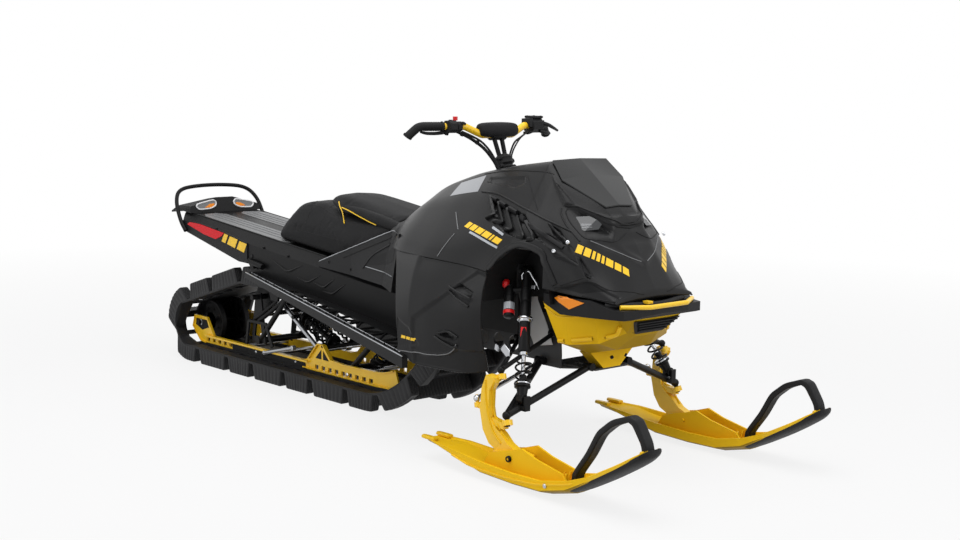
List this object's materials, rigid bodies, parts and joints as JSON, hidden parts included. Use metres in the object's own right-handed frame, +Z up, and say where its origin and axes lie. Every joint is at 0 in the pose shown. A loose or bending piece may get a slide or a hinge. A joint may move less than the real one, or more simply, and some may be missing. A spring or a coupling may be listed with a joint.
{
  "type": "snowmobile",
  "caption": "Mountain snowmobile with yellow steering skis, black bodywork, a deep-lug rubber track, a stepped seat and a raised handlebar.",
  "frame": {"origin": "on the ground, under the centre of the bounding box", "axes": "+X forward towards the ski tips, +Y to the rider's left, +Z up"},
  "size_m": [3.2331, 1.048, 1.1863],
  "materials": {
    "yellow_metal": "gloss yellow paint",
    "yellow_plastic": "smooth yellow plastic",
    "black_plastic": "grained black plastic",
    "black_gloss": "smooth black plastic",
    "black_metal": "satin black coat",
    "aluminium": "brushed sheet",
    "engine_metal": "cast grey",
    "steel": "plated steel",
    "rubber": "matt black rubber",
    "track_rubber": "moulded track rubber",
    "seat_vinyl": "grained black vinyl",
    "pad_foam": "soft black cover",
    "clear_lens": "clear lens",
    "red_lens": "red lens",
    "orange_lens": "orange lens",
    "red_plastic": "red button",
    "dark_screen": "smoked screen"
  },
  "bodies": {
    "chassis": {"belly_pan": "yellow_plastic", "drive_axle": "black_metal", "engine_block": "engine_metal", "front_frame": "aluminium", "front_reflectors": "orange_lens", "front_shocks": "steel", "front_springs": "black_metal", "front_swing_arm": "black_metal", "grille": "black_plastic", "headlamps": "clear_lens", "hood": "black_gloss", "knee_panels": "black_plastic", "lower_arms": "black_metal", "nose_bar": "yellow_metal", "nose_shelf": "black_plastic", "post_carrier": "black_metal", "rail_cross_tubes": "aluminium", "rail_sliders": "black_plastic", "rear_bumper": "black_metal", "rear_reflectors": "red_lens", "rear_swing_arm": "black_metal", "rear_wheels": "black_plastic", "running_board_left": "black_metal", "running_board_right": "black_metal", "seat_cushion": "seat_vinyl", "seat_saddle": "seat_vinyl", "side_panel_left": "black_gloss", "side_panel_right": "black_gloss", "slide_rails": "yellow_metal", "tail_lamps": "clear_lens", "tail_panel": "black_plastic", "tail_side_covers": "black_plastic", "tank_cover": "black_plastic", "track": "track_rubber", "track_shocks": "steel", "tunnel": "black_metal", "upper_arms": "black_metal", "upper_wheels": "black_plastic", "windshield": "dark_screen"},
    "handlebar": {"steering_post": "black_metal", "bar_riser": "black_metal", "handlebar_tube": "yellow_metal", "bar_pad": "pad_foam", "grips": "rubber", "throttle_block": "black_plastic", "stop_button": "red_plastic", "brake_block": "black_metal", "throttle_cable": "rubber"},
    "spindle_right": {"spindle_right": "yellow_metal"},
    "spindle_left": {"spindle_left": "yellow_metal"},
    "tie_rod_right": {"tie_rod_right": "steel"},
    "tie_rod_left": {"tie_rod_left": "steel"},
    "ski_right": {"ski_right": "yellow_plastic", "ski_loop_right": "black_plastic"},
    "ski_left": {"ski_left": "yellow_plastic", "ski_loop_left": "black_plastic"}
  },
  "joints": [
    {"name": "steer", "type": "hinge", "parent": "chassis", "child": "handlebar", "pos_m": [0.53263, 0, 0.805], "axis": [-0.3673, 0, 0.9301], "range_deg": [-36, 36]},
    {"name": "spindle_right_turn", "type": "hinge", "parent": "chassis", "child": "spindle_right", "pos_m": [0.94863, -0.436, 0.196], "axis": [-0.3409, 0.1311, 0.9309], "range_deg": [-29, 29]},
    {"name": "tie_rod_right_outer", "type": "hinge", "parent": "spindle_right", "child": "tie_rod_right", "pos_m": [0.80263, -0.44, 0.246], "axis": [-0.3409, 0.1311, 0.9309], "range_deg": [-29, 29]},
    {"name": "ski_right_pitch", "type": "hinge", "parent": "spindle_right", "child": "ski_right", "pos_m": [1.01263, -0.445, 0.085], "axis": [0, 1, 0], "range_deg": [-20, 12], "stiffness_Nm_per_rad": 300},
    {"name": "spindle_left_turn", "type": "hinge", "parent": "chassis", "child": "spindle_left", "pos_m": [0.94863, 0.436, 0.196], "axis": [-0.3409, -0.1311, 0.9309], "range_deg": [-29, 29]},
    {"name": "tie_rod_left_outer", "type": "hinge", "parent": "spindle_left", "child": "tie_rod_left", "pos_m": [0.80263, 0.44, 0.246], "axis": [-0.3409, -0.1311, 0.9309], "range_deg": [-29, 29]},
    {"name": "ski_left_pitch", "type": "hinge", "parent": "spindle_left", "child": "ski_left", "pos_m": [1.01263, 0.445, 0.085], "axis": [0, 1, 0], "range_deg": [-20, 12], "stiffness_Nm_per_rad": 300}
  ],
  "couplings": [
    {"joint": "spindle_right_turn", "follows": "steer", "ratio": 0.8},
    {"joint": "tie_rod_right_outer", "follows": "steer", "ratio": -0.8},
    {"joint": "spindle_left_turn", "follows": "steer", "ratio": 0.8},
    {"joint": "tie_rod_left_outer", "follows": "steer", "ratio": -0.8}
  ]
}
